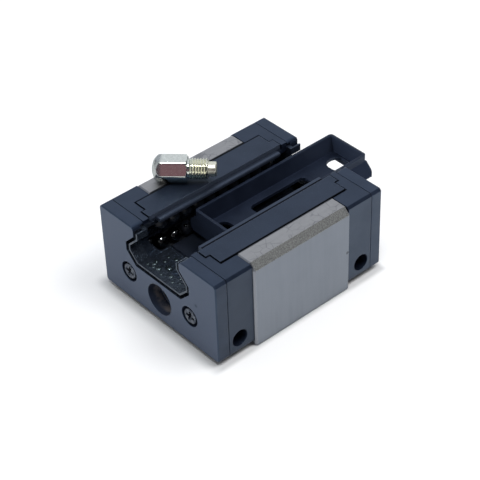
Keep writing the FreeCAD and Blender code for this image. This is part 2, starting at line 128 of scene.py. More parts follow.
# Oil drops, as x, y and radius in millimetres
DROPS_ON_LIP = [(-6.3, -27.3, 0.45), (-5.1, -26.0, 0.80), (-4.3, -27.0, 0.50), (-2.8, -26.5, 0.90),
                (-0.6, -27.5, 0.45), (1.9, -26.2, 0.70), (3.9, -27.4, 0.45), (5.6, -26.3, 0.40)]
DROPS_ON_CAP = [(-2.6, -23.3, 1.20), (-1.2, -21.9, 0.60), (-5.6, -22.2, 0.65), (0.4, -21.4, 0.85),
                (2.7, -23.9, 0.55), (4.4, -20.9, 0.65), (-7.2, -23.9, 0.70), (-4.0, -19.6, 0.80),
                (1.4, -18.9, 0.55), (-6.3, -20.4, 0.50), (3.4, -22.3, 1.00), (-3.9, -24.3, 0.45)]
DROP_LEVELS = 2
DROP_WIDTH = 0.8
DROP_HEIGHT = 0.45

# Zones of the looks. Each pair gives where a zone has faded out and where it is full.
OIL_ABOVE = (13.2 * MM, 13.6 * MM)
OIL_BELOW = (25.9 * MM, 25.5 * MM)
OIL_WITHIN = (13.5 * MM, 13.2 * MM)
OIL_AHEAD_OF = (8.0 * MM, 2.0 * MM)
SHADED_OILY_ABOVE = (20.0 * MM, 21.0 * MM)
SHADED_OILY_BEHIND = (-13.4 * MM, -12.8 * MM)
PORT_MARGINS = (0.2 * MM, 0.1 * MM)
BROWN_BEHIND = (PLATE_FACE + 1.2 * MM, PLATE_FACE + 2.4 * MM)
UNSHADED_ABOVE = (CAP_FOOT + 0.1 * MM, CAP_FOOT + 0.6 * MM)
FRONT_END_SIDES_AHEAD_OF = (0.0, -10.0 * MM)
PLATE_SPOT = (15.28 * MM, PLATE_FACE, 15.98 * MM)
PLATE_SPOT_REACH = (0.75 * MM, 0.25 * MM)
STRIP_BELOW = (CARRIAGE_HEIGHT - 0.05 * MM, CARRIAGE_HEIGHT - 0.2 * MM)
STRIP_INNER = (STRIP_INNER_REACH + 0.15 * MM, STRIP_INNER_REACH + 0.05 * MM)
STRIP_OUTER = (STRIP_OUTER_REACH - 0.3 * MM, STRIP_OUTER_REACH - 0.1 * MM)
GROOVE_BEYOND = (8.35 * MM, 8.6 * MM)
BEAD_SIDE_ABOVE = (CARRIAGE_HEIGHT - 1.45 * MM, CARRIAGE_HEIGHT - 1.1 * MM)
RIGHT_HALF = (-1.0 * MM, 1.0 * MM)
DUMMY_REAR = (15.0 * MM, 36.0 * MM)
COARSE_ABOVE = (CARRIAGE_HEIGHT - OUTER_CHAMFER + 0.12 * MM, CARRIAGE_HEIGHT - OUTER_CHAMFER + 0.24 * MM)
RIM_WITHIN = (RIM_INNER_REACH + 0.34 * MM, RIM_INNER_REACH + 0.2 * MM)
CHANNEL_ABOVE = (12.9 * MM, 13.1 * MM)
STEEL_PIT = (CARRIAGE_HALF_WIDTH, 15.93 * MM, 12.9 * MM)
STEEL_PIT_REACH = (0.62 * MM, 0.3 * MM)
LIP_OUTSIDE = (LIP_FACE - 1.0 * MM, LIP_FACE - 0.3 * MM)
FLOOR_DARK_RIGHT = (25.8 * MM, 23.9 * MM)
FLOOR_DARK_LEFT = (-27.5 * MM, -23.0 * MM)
FLOOR_DARK_REAR = (31.0 * MM, 28.8 * MM)
FLOOR_DARK_FRONT = (-33.1 * MM, -28.6 * MM)

# The nipple lies at 45 degrees, so x + y grows along it
NIPPLE_START = sum(NIPPLE_COLLAR)
NIPPLE_NOSE_START = NIPPLE_START + math.sqrt(2.0) * NIPPLE_THREAD_LENGTH
NIPPLE_THREADED = (NIPPLE_START + 0.2 * MM, NIPPLE_START + 3.0 * MM)
NIPPLE_DOMED = (NIPPLE_START - 9.4 * MM, NIPPLE_START - 10.6 * MM)
NIPPLE_NOSED = (NIPPLE_NOSE_START - 0.3 * MM, NIPPLE_NOSE_START)

# Pairs like the zones, for the cosine between a face and an axis or a direction
FACES_ALONG = (0.9, 0.98)
FACES_AHEAD = (-0.9, -0.98)
FACES_MOSTLY = (0.6, 0.9)
FACES_HARDLY = (0.9, 0.6)
FACES_SLANTED = (0.3, 0.45)
FACES_NOT_SQUARE = (0.9, 0.8)
FACES_NOT_ENDWISE = (0.6, 0.4)
EDGE_AGREEMENT = (0.995, 0.80)
GLINT_TOWARD = (0.404, -0.403, 0.822)
GLINT_SPREAD = (0.962, 0.985)

# What several finishes share: most values of a noise, a fine relief, and edges that are paler by a factor, partly wear
# and partly painted highlight
MOST_NOISE = (0.3, 0.7)
FINE_SCALE = 2600.0
FINE_RELIEF = 0.01 * MM
EDGE_PALING = 2.6
BEVEL_SAMPLES = 4

# Tones of the plastics in linear light, each from deep to pale
CAP_TONES = ((0.0045, 0.006, 0.012), (0.007, 0.0095, 0.018))
# The seal plates are of the same plastic as the caps; their paler tones are painted light for the brighter front face
PLATE_TONES = ((0.007, 0.0095, 0.018), (0.010, 0.014, 0.026))
DUMMY_TONES = ((0.007, 0.0095, 0.018), (0.010, 0.0135, 0.025))
RETAINER_TONES = ((0.008, 0.010, 0.016), (0.013, 0.016, 0.024))
GUIDE_TONES = ((0.013, 0.015, 0.020), (0.019, 0.022, 0.028))

# Camera fitted to the photograph, angles in degrees
CAMERA_AZIMUTH = 49.74
CAMERA_ELEVATION = 39.0
CAMERA_ROLL = -2.2
CAMERA_DISTANCE = 0.42885
CAMERA_SHIFT = (-0.00099, 0.00941)
CAMERA_FOCAL_PIXELS = 1565.34
CAMERA_CLIP_START = 0.01
IMAGE_PIXELS = 480
SENSOR_WIDTH = 36.0

# Light: a dim room, a bright wall behind to the left, a softbox in front to the left, a rosy patch in front
# to the right and a lamp overhead, each spread over a pair of cosines like the zones, and one key lamp
FLOOR_HALF_WIDTH = 3.0
FLOOR_LEVEL = -0.05 * MM
FLOOR_TONE = 0.66
FLOOR_UNEVENNESS = 0.01
FLOOR_GLOW = 0.34
WHITE = (1.0, 1.0, 1.0)
ROOM = (0.07, 0.075, 0.09)
WALL = (0.66, 0.69, 0.76)
WALL_TOWARD = (-0.593, 0.502, 0.629)
WALL_SPREAD = (0.35, 0.82)
SOFTBOX = (0.75, 0.77, 0.80)
SOFTBOX_TOWARD = (-0.40, -0.88, 0.25)
SOFTBOX_SPREAD = (0.66, 0.90)
ROSE = (0.20, 0.105, 0.125)
ROSE_TOWARD = (0.613, -0.704, 0.356)
ROSE_SPREAD = (0.98, 0.995)
OVERHEAD = (14.0, 14.2, 14.2)
OVERHEAD_TOWARD = (0.18, -0.27, 0.945)
OVERHEAD_SPREAD = (0.983, 0.995)
KEY_PLACE = (0.28, 0.22, 0.65)
KEY_AIM = (0.0, 0.0, 0.01)
KEY_POWER = 3.2
KEY_SIZE = 0.36


class Nodes:
    """A node tree, with short ways of adding to it."""

    def __init__(self, tree):
        self.tree = tree

    def node(self, kind, inputs, **settings):
        """New node with its settings, its inputs linked or set."""
        made = self.tree.nodes.new("ShaderNode" + kind)
        for key, value in settings.items():
            setattr(made, key, value)
        for key, value in inputs.items():
            if isinstance(value, bpy.types.NodeSocket):
                self.tree.links.new(value, made.inputs[key])
            else:
                made.inputs[key].default_value = value
        return made

    def math(self, operation, first, second=0.0):
        return self.node("Math", {0: first, 1: second}, operation=operation).outputs[0]

    def product(self, first, *others):
        for other in others:
            first = self.math("MULTIPLY", first, other)
        return first

    def vector(self, operation, first, second, output="Vector"):
        return self.node("VectorMath", {0: first, 1: second}, operation=operation).outputs[output]

    def span(self, value, low, high, to_low=0.0, to_high=1.0, smooth=True):
        """Maps a range of a value to another range, clamped."""
        inputs = {"Value": value, "From Min": low, "From Max": high, "To Min": to_low, "To Max": to_high}
        kind = "SMOOTHSTEP" if smooth else "LINEAR"
        return self.node("MapRange", inputs, interpolation_type=kind).outputs["Result"]

    def mix(self, factor, first, second):
        """Colour mix. Plain colours are given as three numbers."""
        first = first if isinstance(first, bpy.types.NodeSocket) else (*first, 1.0)
        second = second if isinstance(second, bpy.types.NodeSocket) else (*second, 1.0)
        return self.node("Mix", {0: factor, 6: first, 7: second}, data_type="RGBA").outputs[2]


class Finish(Nodes):
    """A material with one shader, and the texture nodes that feed it."""

    def __init__(self, name):
        self.material = bpy.data.materials.new(name)
        self.material.use_nodes = True
        super().__init__(self.material.node_tree)
        self.shader = self.tree.nodes["Principled BSDF"]
        source = self.tree.nodes.new("ShaderNodeTexCoord")
        self.place = source.outputs["Object"]
        self.facing = source.outputs["Normal"]

    def constant(self, **values):
        """Sets shader sockets that are the same all over, named in lower case with underscores."""
        wanted = {key.replace("_", " "): value for key, value in values.items()}
        for socket in self.shader.inputs:
            if socket.name.lower() in wanted:
                socket.default_value = wanted.pop(socket.name.lower())
        if wanted:
            raise KeyError(f"no such shader sockets: {sorted(wanted)}")

    def feed(self, socket, output):
        self.tree.links.new(output, self.shader.inputs[socket])

    def axes(self, source=None):
        """Coordinates X, Y and Z of the place, or of another vector."""
        return self.node("SeparateXYZ", {0: source or self.place}).outputs

    def stretched(self, factors):
        """Texture space scaled apart along the three axes."""
        return self.vector("MULTIPLY", self.place, factors)

    def noise(self, scale, detail=2.0, vector=None, roughness=0.5):
        inputs = {"Vector": vector or self.place, "Scale": scale, "Detail": detail, "Roughness": roughness}
        return self.node("TexNoise", inputs).outputs["Fac"]

    def bevel(self, radius):
        return self.node("Bevel", {"Radius": radius}, samples=BEVEL_SAMPLES).outputs["Normal"]

    def bump(self, height, distance, strength, normal=None):
        inputs = {"Height": height, "Distance": distance, "Strength": strength}
        if normal is not None:
            inputs["Normal"] = normal
        return self.node("Bump", inputs).outputs["Normal"]

    def edges(self, rounded):
        """One where the rounded normal leaves the flat one, which is along the edges."""
        flat = self.tree.nodes.new("ShaderNodeNewGeometry").outputs["True Normal"]
        return self.span(self.vector("DOT_PRODUCT", rounded, flat, "Value"), *EDGE_AGREEMENT)

    def near(self, centre, reach):
        """One close to a point, zero further off. The reach is a pair like the zones."""
        return self.span(self.vector("DISTANCE", self.place, centre, "Value"), *reach)

    def surface(self, tone, rough, normal):
        """Feeds the shader, and keeps what feeds it for later coats."""
        self.tone = tone
        self.rough = rough
        self.normal = normal
        self.feed("Base Color", tone)
        self.feed("Roughness", rough)
        self.feed("Normal", normal)

    def coat(self, mask, tone, rough, height, distance):
        """Lays another tone, roughness and unevenness over the surface where the mask is one."""
        over_tone = self.mix(mask, self.tone, tone)
        over_rough = self.span(mask, 0.0, 1.0, self.rough, rough, smooth=False)
        over_normal = self.bump(self.product(height, mask), distance, 1.0, self.normal)
        self.surface(over_tone, over_rough, over_normal)

    def fine_coat(self, mask, tone, rough, distance=FINE_RELIEF):
        """Coat with a fine grain."""
        self.coat(mask, tone, rough, self.noise(FINE_SCALE), distance)

    def oiled(self):
        """Wet and uneven in the open front half of the rail channel, except on the end faces."""
        at = self.axes()
        endwise = self.math("ABSOLUTE", self.axes(self.facing)["Y"])
        inside = self.product(
            self.span(at["Z"], *OIL_ABOVE), self.span(at["Z"], *OIL_BELOW),
            self.span(self.math("ABSOLUTE", at["X"]), *OIL_WITHIN),
            self.span(endwise, *FACES_NOT_ENDWISE), self.span(at["Y"], *OIL_AHEAD_OF))
        puddle = self.noise(1100.0, detail=3.0, roughness=0.6)
        wet = self.mix(puddle, (0.006, 0.008, 0.012), (0.018, 0.022, 0.030))
        self.coat(inside, wet, rough=0.12, height=puddle, distance=0.45 * MM)

    def shaded_and_dulled(self):
        """Painted contact shade along the lower edge, as a lower specular level there, and a little less specular on
        the side faces of the front end.
        """
        at = self.axes()
        # Painted shade: the specular level falls towards the lower edge
        shine_above_shade = self.span(at["Z"], *UNSHADED_ABOVE, to_low=0.06, to_high=0.5)
        aside = self.span(self.axes(self.facing)["X"], *FACES_ALONG)
        front_end_sides = self.product(aside, self.span(at["Y"], *FRONT_END_SIDES_AHEAD_OF))
        kept = self.span(front_end_sides, 0.0, 1.0, to_low=1.0, to_high=0.72)
        self.feed("Specular IOR Level", self.product(shine_above_shade, kept))

    def greased(self, radius):
        """Grease inside the grease port, dark at its mouth and brown deeper in."""
        at = self.axes()
        rise = self.math("SUBTRACT", at["Z"], PORT_HEIGHT)
        squares = self.math("ADD", self.math("POWER", at["X"], 2.0), self.math("POWER", rise, 2.0))
        inside = self.span(squares, *((radius + margin) ** 2 for margin in PORT_MARGINS))
        smear = self.noise(430.0, detail=3.0, roughness=0.6)
        brown = self.product(self.span(smear, 0.40, 0.58, to_low=0.15), self.span(at["Y"], *BROWN_BEHIND))
        grease = self.mix(brown, (0.027, 0.034, 0.056), (0.165, 0.148, 0.145))
        self.coat(inside, grease, rough=0.33, height=smear, distance=0.35 * MM)


def moulded(name, tones, roughness, edge_wear_and_highlight=0.15, rub_and_highlight_tone=None, ior=1.75):
    """Moulded plastic: fine grain, cloudy tone, softened edges painted a little pale, partly wear and partly painted
    highlight.
    """
    finish = Finish(name)
    deep, pale = tones
    rounded = finish.bevel(radius=0.22 * MM)
    cloud = finish.noise(210.0, detail=4.0)
    tone = finish.mix(finish.span(cloud, *MOST_NOISE), deep, pale)
    # Pale edges: partly wear, partly painted highlight
    wear_and_highlight = finish.product(finish.edges(rounded), edge_wear_and_highlight)
    fleck = finish.product(finish.span(finish.noise(2900.0, detail=1.0), 0.60, 0.74), 0.12)
    tone = finish.mix(finish.math("MAXIMUM", wear_and_highlight, fleck), tone, rub_and_highlight_tone or tuple(EDGE_PALING * c for c in pale))
    smudge = finish.noise(95.0, detail=3.0, roughness=0.6)
    rough = finish.span(smudge, *MOST_NOISE, to_low=roughness - 0.06, to_high=roughness + 0.06)
    finish.surface(tone, rough, finish.bump(finish.noise(5200.0), distance=0.02 * MM, strength=0.45, normal=rounded))
    finish.constant(ior=ior, specular_tint=(0.46, 0.67, 1.0, 1.0))
    return finish


def cap_finish():
    """End cap plastic, oiled in the channel and greased in the port."""
    finish = moulded("cap_plastic", CAP_TONES, roughness=0.42)
    finish.oiled()
    finish.greased(PORT_SEAT_RADIUS)
    finish.shaded_and_dulled()
    return finish.material


def plate_finish():
    """Seal plate plastic with painted light, a paler front face, oiled and greased alike, with one dark spot."""
    finish = moulded("plate_plastic", PLATE_TONES, roughness=0.45)
    # Painted light: a paler tone on the front face, as if lit more
    lit_front = finish.span(finish.axes(finish.facing)["Y"], *FACES_AHEAD)
    finish.fine_coat(lit_front, (0.031, 0.040, 0.068), rough=0.45, distance=0.015 * MM)
    finish.oiled()
    finish.greased(PORT_OPENING_RADIUS)
    finish.shaded_and_dulled()
    spot = finish.near(PLATE_SPOT, PLATE_SPOT_REACH)
    finish.coat(finish.product(spot, 0.8), (0.004, 0.005, 0.008), rough=0.6, height=spot, distance=-0.02 * MM)
    return finish.material


def strip_finish():
    """Bottom strip plastic with pale edges, partly wear and partly painted highlight: a painted sheen on the inner
    bead and its upright sides, and painted shade in the groove beside it and along the outer edge.
    """
    finish = moulded("strip_plastic", CAP_TONES, roughness=0.40, edge_wear_and_highlight=0.9, rub_and_highlight_tone=(0.09, 0.11, 0.15), ior=1.70)
    at = finish.axes()
    face = finish.axes(finish.facing)
    reach = finish.math("ABSOLUTE", at["X"])
    lower = finish.product(finish.span(at["Z"], *STRIP_BELOW), finish.span(reach, *STRIP_INNER))
    # Painted sheen on the inner bead
    finish.fine_coat(lower, (0.017, 0.021, 0.033), rough=0.42)
    # Painted shade in the groove beside the bead
    groove = finish.product(lower, finish.span(reach, *GROOVE_BEYOND), finish.span(face["Z"], *FACES_MOSTLY))
    groove = finish.product(groove, finish.span(at["X"], *RIGHT_HALF, to_low=0.55))
    finish.fine_coat(groove, (0.003, 0.004, 0.007), rough=0.5)
    # Painted sheen on the upright sides of the bead
    upright = finish.span(finish.math("ABSOLUTE", face["X"]), *FACES_MOSTLY)
    bead_side_sheen = finish.product(lower, upright, finish.span(at["Z"], *BEAD_SIDE_ABOVE))
    finish.fine_coat(bead_side_sheen, (0.055, 0.068, 0.098), rough=0.42)
    # Painted shade along the outer edge
    outer = finish.span(reach, *STRIP_OUTER)
    finish.fine_coat(outer, (0.003, 0.004, 0.006), rough=0.5)
    # No specular in the painted shade
    dull = finish.math("MAXIMUM", finish.product(groove, 0.95), finish.product(outer, 0.9))
    finish.feed("Specular IOR Level", finish.span(dull, 0.0, 1.0, to_low=0.5, to_high=0.0, smooth=False))
    return finish.material


def dummy_finish():
    """Transport rail plastic with pale edges, partly wear and partly painted highlight, and painted light: paler on
    the faces that look to the front, palest on those at the rear end, and paler on the upright faces there.
    """
    finish = moulded("dummy_plastic", DUMMY_TONES, roughness=0.46, edge_wear_and_highlight=1.0, ior=1.4)
    face = finish.axes(finish.facing)
    lit_front = finish.span(face["Y"], *FACES_AHEAD)
    rear = finish.span(finish.axes()["Y"], *DUMMY_REAR)
    # Painted light by face direction
    pale = finish.mix(finish.product(lit_front, rear), (0.018, 0.024, 0.042), (0.056, 0.076, 0.128))
    upright = finish.product(rear, finish.span(face["Z"], *FACES_HARDLY))
    finish.fine_coat(finish.math("MAXIMUM", lit_front, upright), pale, rough=0.46)
    return finish.material


def steel_finish():
    """Ground steel: fine side, brighter ground rim with hairlines, coarse dull chamfer, one dark pit."""
    finish = Finish("carriage_steel")
    rounded = finish.bevel(radius=0.3 * MM)
    at = finish.axes()
    face = finish.axes(finish.facing)
    sidewise = finish.math("ABSOLUTE", face["X"])
    endwise = finish.math("ABSOLUTE", face["Y"])
    # Side face, with faint upright grinding streaks
    streak = finish.noise(900.0, detail=3.0, vector=finish.stretched((1.0, 1.0, 0.06)))
    cloud = finish.span(finish.noise(120.0, detail=3.0), *MOST_NOISE, to_high=0.5)
    side_tone = finish.mix(streak, (0.219, 0.242, 0.277), (0.241, 0.264, 0.299))
    side_tone = finish.mix(cloud, side_tone, (0.210, 0.232, 0.265))
    # Rim beside the channel, with patches of wandering dark hairlines
    along = finish.noise(1300.0, detail=3.0, vector=finish.stretched((1.0, 0.08, 1.0)))
    rim_tone = finish.mix(along, (0.375, 0.374, 0.374), (0.485, 0.482, 0.480))
    bent = finish.node("TexNoise", {"Vector": finish.place, "Scale": 260.0, "Detail": 3.0}).outputs["Color"]
    wandering = finish.vector("ADD", finish.place, finish.vector("MULTIPLY", bent, (0.9 * MM,) * 3))
    cells = {"Vector": wandering, "Scale": 400.0}
    crack = finish.node("TexVoronoi", cells, feature="DISTANCE_TO_EDGE").outputs["Distance"]
    patch = finish.span(finish.noise(150.0), 0.42, 0.56)
    hairline = finish.product(finish.span(crack, 0.05, 0.012), patch, 0.42)
    rim_tone = finish.mix(hairline, rim_tone, (0.15, 0.155, 0.17))
    tone = finish.mix(finish.span(face["Z"], *FACES_ALONG), side_tone, rim_tone)
    # Coarse chamfer, whose lower border wanders a little on to the side
    coarse = finish.noise(3900.0, detail=3.0, vector=finish.stretched((1.0, 1.0, 0.45)))
    chamfer_tone = finish.mix(finish.span(coarse, 0.34, 0.66), (0.135, 0.138, 0.135), (0.26, 0.264, 0.255))
    border = finish.math("ADD", at["Z"], finish.product(finish.noise(700.0, detail=3.0), 0.5 * MM))
    spill = finish.product(finish.span(border, *COARSE_ABOVE), finish.span(sidewise, *FACES_ALONG))
    slanted = finish.span(finish.product(sidewise, face["Z"]), *FACES_SLANTED)
    chamfered = finish.math("MAXIMUM", slanted, spill)
    tone = finish.mix(chamfered, tone, chamfer_tone)
    # Painted highlights along the edges, duller end chamfers, the channel darkened by oil film and painted shade, and
    # the pit
    tone = finish.mix(finish.product(finish.edges(rounded), 0.6), tone, (0.62, 0.64, 0.66))
    ended = finish.product(finish.span(endwise, *FACES_SLANTED), finish.span(endwise, *FACES_NOT_SQUARE))
    tone = finish.mix(ended, tone, (0.26, 0.272, 0.3))
    # Painted shade in the rail channel, partly oil film: a dark tone there
    within = finish.span(finish.math("ABSOLUTE", at["X"]), *RIM_WITHIN)
    within = finish.product(within, finish.span(at["Z"], *CHANNEL_ABOVE))
    tone = finish.mix(within, tone, (0.022, 0.025, 0.031))
    pit = finish.near(STEEL_PIT, STEEL_PIT_REACH)
    tone = finish.mix(finish.product(pit, 0.7), tone, (0.06, 0.065, 0.075))
    rough = finish.span(streak, *MOST_NOISE, to_low=0.46, to_high=0.54)
    rough = finish.math("ADD", rough, finish.product(chamfered, 0.12))
    relief = finish.math("ADD", finish.product(streak, 0.25), finish.product(coarse, chamfered))
    relief = finish.math("SUBTRACT", relief, finish.product(pit, 2.0))
    finish.surface(tone, rough, finish.bump(relief, distance=0.02 * MM, strength=0.5, normal=rounded))
    veiled = finish.math("MAXIMUM", within, finish.product(chamfered, 0.6))
    finish.feed("Metallic", finish.math("SUBTRACT", 1.0, veiled))
    return finish.material


def polished_finish():
    """Bearing balls under dark oil, with painted shade as thicker oil on the upper rows and further in, and a painted
    glint: a bright mirror spot on each whose face looks halfway between the camera and the overhead light.
    """
    finish = Finish("ball_steel")
    at = finish.axes()
    film = finish.noise(900.0, detail=3.0)
    # Painted shade, partly thick dark oil: darker on the upper rows and further in
    shaded_oily = finish.math("MAXIMUM", finish.span(at["Z"], *SHADED_OILY_ABOVE), finish.span(at["Y"], *SHADED_OILY_BEHIND))
    # Painted glint: a bright mirror spot whose face looks halfway between the camera and the overhead light
    spot = finish.span(finish.vector("DOT_PRODUCT", finish.facing, GLINT_TOWARD, "Value"), *GLINT_SPREAD)
    tone = finish.mix(film, (0.04, 0.042, 0.042), (0.07, 0.072, 0.072))
    tone = finish.mix(shaded_oily, tone, (0.009, 0.012, 0.018))
    wiped = finish.mix(shaded_oily, (0.62, 0.64, 0.63), (0.020, 0.024, 0.024))
    finish.feed("Base Color", finish.mix(spot, tone, wiped))
    veiled = finish.product(shaded_oily, finish.math("SUBTRACT", 1.0, spot))
    finish.feed("Metallic", finish.math("SUBTRACT", 1.0, veiled))
    slick = finish.span(film, 0.35, 0.65, to_low=0.04, to_high=0.07)
    thick = finish.product(shaded_oily, finish.span(spot, 0.0, 1.0, to_low=1.0, to_high=0.3))
    finish.feed("Roughness", finish.span(thick, 0.0, 1.0, to_low=slick, to_high=0.5, smooth=False))
    return finish.material


def screw_finish():
    """Blackened steel with bright edges, partly wear from rubbing and partly painted highlight."""
    finish = Finish("screw_steel")
    rounded = finish.bevel(radius=0.12 * MM)
    cloud = finish.noise(1500.0, detail=3.0)
    tone = finish.mix(finish.span(cloud, 0.40, 0.62), (0.042, 0.052, 0.072), (0.135, 0.15, 0.175))
    # Bright edges: partly wear from rubbing, partly painted highlight
    tone = finish.mix(finish.product(finish.edges(rounded), 0.5), tone, (0.34, 0.36, 0.40))
    rough = finish.span(cloud, *MOST_NOISE, to_low=0.34, to_high=0.46)
    finish.surface(tone, rough, finish.bump(cloud, distance=0.01 * MM, strength=0.3, normal=rounded))
    finish.constant(metallic=1.0)
    return finish.material


def rubber_finish():
    """Seal rubber, wiped with oil, with a painted highlight along its outer edges."""
    finish = Finish("lip_rubber")
    rounded = finish.bevel(radius=0.15 * MM)
    oil = finish.noise(420.0, detail=3.0)
    outside = finish.span(finish.math("ABSOLUTE", finish.axes()["Y"]), *LIP_OUTSIDE)
    tone = finish.mix(oil, (0.010, 0.013, 0.022), (0.016, 0.021, 0.033))
    # Painted highlight along the outer edges
    tone = finish.mix(finish.product(finish.edges(rounded), outside, 0.7), tone, (0.085, 0.100, 0.130))
    rough = finish.span(oil, 0.35, 0.65, to_low=0.28, to_high=0.5)
    finish.surface(tone, rough, finish.bump(oil, distance=0.03 * MM, strength=0.3, normal=rounded))
    finish.oiled()
    finish.constant(ior=1.7, specular_tint=(0.62, 0.80, 1.0, 1.0))
    return finish.material


def nickel_finish():
    """Nickel plating with a faint waviness, duller on the dome and nose and a little yellow on the thread."""
    finish = Finish("nipple_plating")
    at = finish.axes()
    reach = finish.math("ADD", at["X"], at["Y"])
    domed = finish.span(reach, *NIPPLE_DOMED)
    nosed = finish.span(reach, *NIPPLE_NOSED)
    smear = finish.noise(1400.0, detail=3.0, roughness=0.65)
    tone = finish.mix(finish.span(smear, 0.35, 0.7), (0.80, 0.825, 0.755), (0.91, 0.935, 0.86))
    tone = finish.mix(domed, tone, (0.44, 0.465, 0.455))
    tone = finish.mix(finish.span(reach, *NIPPLE_THREADED), tone, (0.95, 0.935, 0.77))
    dull = finish.math("ADD", finish.product(domed, 0.12), finish.product(nosed, 0.22))
    rough = finish.math("ADD", finish.span(smear, *MOST_NOISE, to_low=0.10, to_high=0.2), dull)
    wave = finish.noise(520.0, detail=3.0)
    finish.surface(tone, rough, finish.bump(wave, distance=0.06 * MM, strength=0.22))
    finish.constant(metallic=1.0, specular_tint=(0.70, 0.73, 0.72, 1.0))
    return finish.material


def oil_finish():
    """Preservative oil in small drops."""
    finish = Finish("oil")
    haze = finish.noise(1800.0)
    finish.feed("Base Color", finish.mix(haze, (0.006, 0.009, 0.010), (0.012, 0.016, 0.018)))
    finish.feed("Roughness", finish.span(haze, *MOST_NOISE, to_low=0.02, to_high=0.06))
    finish.constant(ior=2.2, specular_tint=(0.74, 0.94, 1.0, 1.0))
    return finish.material


def added(name, data):
    """New object in the scene."""
    made = bpy.data.objects.new(name, data)
    bpy.context.scene.collection.objects.link(made)
    return made


def outward_mesh(name, points, faces):
    """New mesh whose faces all look outwards."""
    mesh = bpy.data.meshes.new(name)
    mesh.from_pydata([tuple(p) for p in points], [], [tuple(f) for f in faces])
    mesh.validate()
    shape = bmesh.new()
    shape.from_mesh(mesh)
    bmesh.ops.recalc_face_normals(shape, faces=shape.faces)
    shape.to_mesh(mesh)
    shape.free()
    return mesh


def piece(name, points, faces, material, body, sharp, replaced=()):
    """New piece in the frame, smooth except over edges sharper than an angle in degrees, riding on a body."""
    mesh = outward_mesh(name, points, faces)
    mesh.polygons.foreach_set("use_smooth", [True] * len(mesh.polygons))
    mesh.set_sharp_from_angle(angle=math.radians(sharp))
    mesh.materials.append(material)
    made = added(name, mesh)
    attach(made, body)
    if replaced:
        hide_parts(*replaced)


def rings(stations, around, radius_at):
    """Tube of rings along its own x axis, closed at both ends. radius_at(station, angle) gives its form."""
    points = []
    for station in stations:
        for k in range(around):
            angle = 2.0 * math.pi * k / around
            reach = radius_at(station, angle)
            points.append((station, reach * math.cos(angle), reach * math.sin(angle)))
    faces = []
    for i in range(len(stations) - 1):
        for k in range(around):
            after = (k + 1) % around
            faces.append((i * around + k, i * around + after, (i + 1) * around + after, (i + 1) * around + k))
    faces.append(tuple(range(around)))
    last = (len(stations) - 1) * around
    faces.append(tuple(last + k for k in range(around)))
    return points, faces


def joined(parts):
    """One list of points and faces from several."""
    points = []
    faces = []
    for some_points, some_faces in parts:
        start = len(points)
        points += some_points
        faces += [tuple(start + i for i in face) for face in some_faces]
    return points, faces


def ridge(turns):
    """Height of a thread by the fraction of a turn, from 0 in the root to 1 on the crest, both a little flat."""
    away = abs((turns % 1.0) - 0.5) * 2.0
    return min(1.0, max(0.0, (1.0 - away) * THREAD_STEEPNESS - THREAD_ROOT))


def screw_thread(start, end, major, depth, pitch, around, steps_per_turn):
    """Threaded rod along x, its ridges running out at both ends."""
    count = max(2, int((end - start) / pitch * steps_per_turn))
    stations = [start + (end - start) * i / count for i in range(count + 1)]
    run_out = THREAD_RUN_OUT * pitch

    def radius_at(station, angle):
        ease = min(1.0, (station - start) / run_out, (end - station) / run_out)
        height = ridge(station / pitch - angle / (2.0 * math.pi))
        return major - depth * (1.0 - height * max(0.0, ease))

    return rings(stations, around, radius_at)


def point_key(vertex):
    """The same for vertices in the same place."""
    return tuple(round(c, SAME_POINT_DIGITS) for c in vertex.co)


def islands(mesh):
    """Groups of vertex places that hang together, as arrays."""
    parent = list(range(len(mesh.vertices)))

    def root(i):
        while parent[i] != i:
            parent[i] = parent[parent[i]]
            i = parent[i]
        return i

    seen = {}
    for vertex in mesh.vertices:
        parent[root(vertex.index)] = root(seen.setdefault(point_key(vertex), vertex.index))
    for edge in mesh.edges:
        parent[root(edge.vertices[0])] = root(edge.vertices[1])
    groups = {}
    for vertex in mesh.vertices:
        groups.setdefault(root(vertex.index), []).append(tuple(vertex.co))
    return [np.array(group) for group in groups.values()]


def unit_ball(levels):
    shape = bmesh.new()
    bmesh.ops.create_icosphere(shape, subdivisions=levels, radius=1.0)
    points = [tuple(v.co) for v in shape.verts]
    faces = [tuple(v.index for v in f.verts) for f in shape.faces]
    shape.free()
    return points, faces


def smooth_balls(material):
    """Round balls in the place of the faceted ones."""
    ball_points, ball_faces = unit_ball(BALL_LEVELS)
    for side in ("left", "right"):
        for level in ("upper", "lower"):
            node = f"{side}_{level}_ball_circuit"
            parts = []
            for group in islands(nodes[node].data):
                centre = (group.min(axis=0) + group.max(axis=0)) / 2.0
                radius = np.linalg.norm(group - centre, axis=1).max()
                parts.append(([tuple(centre + radius * np.array(p)) for p in ball_points], ball_faces))
            points, faces = joined(parts)
            piece(f"{side}_{level}_balls", points, faces, material, "block", 80.0, (node,))


def lower_lips(material):
    """Seal lips whose necks end lower than those of the solids, as the photograph shows them."""
    lowered_above = LIP_TOP - LIP_TOP_MARGIN
    for end in ("front", "rear"):
        node = f"{end}_seal_lip"
        mesh = nodes[node].data
        seen = {}
        points = []
        index = []
        for vertex in mesh.vertices:
            key = point_key(vertex)
            if key not in seen:
                seen[key] = len(points)
                x, y, z = vertex.co
                points.append((x, y, z - LIP_CUT if z > lowered_above else z))
            index.append(seen[key])
        faces = [tuple(index[i] for i in polygon.vertices) for polygon in mesh.polygons]
        piece(f"{end}_low_lip", points, faces, material, "block", 30.0, (node,))


